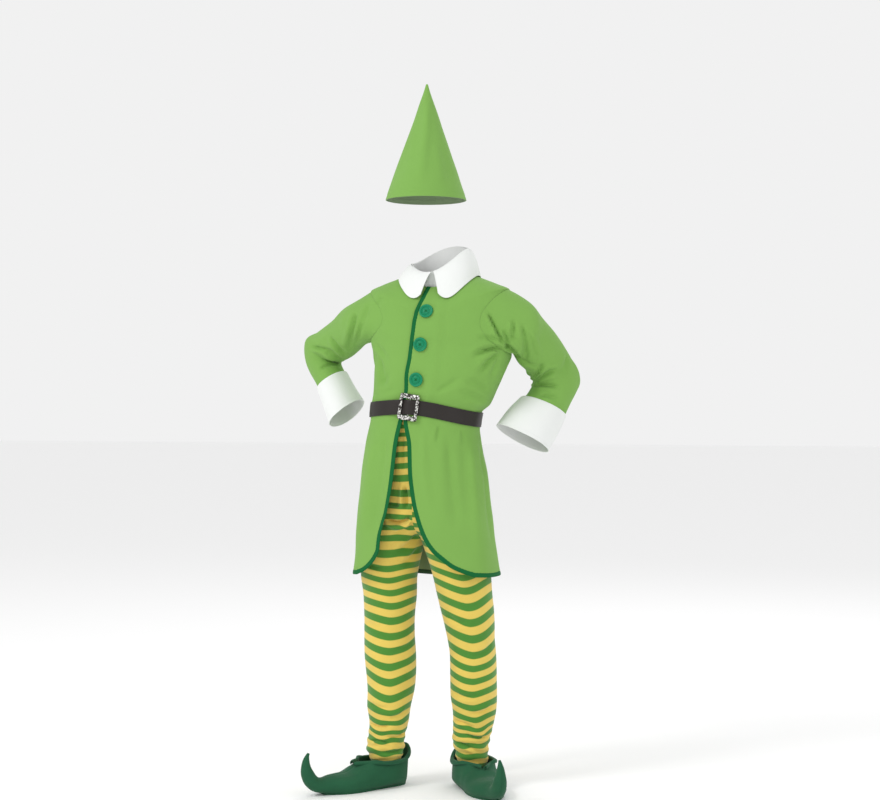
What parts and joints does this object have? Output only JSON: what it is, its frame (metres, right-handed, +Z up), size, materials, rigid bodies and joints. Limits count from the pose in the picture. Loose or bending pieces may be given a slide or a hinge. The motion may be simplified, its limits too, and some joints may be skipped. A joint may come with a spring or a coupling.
{
  "type": "elf costume",
  "caption": "Child's worn elf costume with no wearer: cone hat, cutaway belted coat with white collar and flared cuffs, striped trousers and curled-toe shoes.",
  "frame": {"origin": "centre of the coat's neck opening, where the wearer's neck and shoulders carry it", "axes": "+Z up, -Y out of the front, +X towards the wearer's left"},
  "size_m": [0.6091, 0.3375, 1.474],
  "materials": {
    "coat_green": "light green, fine matt weave",
    "binding_green": "dark green bias strip, slight sheen",
    "white_cloth": "white, smooth and matt",
    "button_green": "green, glossy",
    "belt_black": "soft black imitation leather, faint grain",
    "buckle_silver": "bright silver with a beaded pattern",
    "stripe_yellow": "fine knit with yellow and green stripes",
    "shoe_green": "dark green felt with a soft sheen"
  },
  "bodies": {
    "root": {"belt": "belt_black", "binding_back": "binding_green", "binding_front_left": "binding_green", "binding_front_right": "binding_green", "buckle": "buckle_silver", "button_bottom": "button_green", "button_middle": "button_green", "button_top": "button_green", "coat_back": "coat_green", "coat_front_left": "coat_green", "coat_front_right": "coat_green", "collar_fall": "white_cloth", "collar_stand": "white_cloth", "cuff_left": "white_cloth", "cuff_right": "white_cloth", "hat": "coat_green", "shoe_left_left_half": "shoe_green", "shoe_left_right_half": "shoe_green", "shoe_left_sole": "shoe_green", "shoe_right_left_half": "shoe_green", "shoe_right_right_half": "shoe_green", "shoe_right_sole": "shoe_green", "sleeve_left": "coat_green", "sleeve_right": "coat_green", "trouser_leg_left": "stripe_yellow", "trouser_leg_right": "stripe_yellow", "trouser_waistband": "stripe_yellow"}
  },
  "joints": []
}
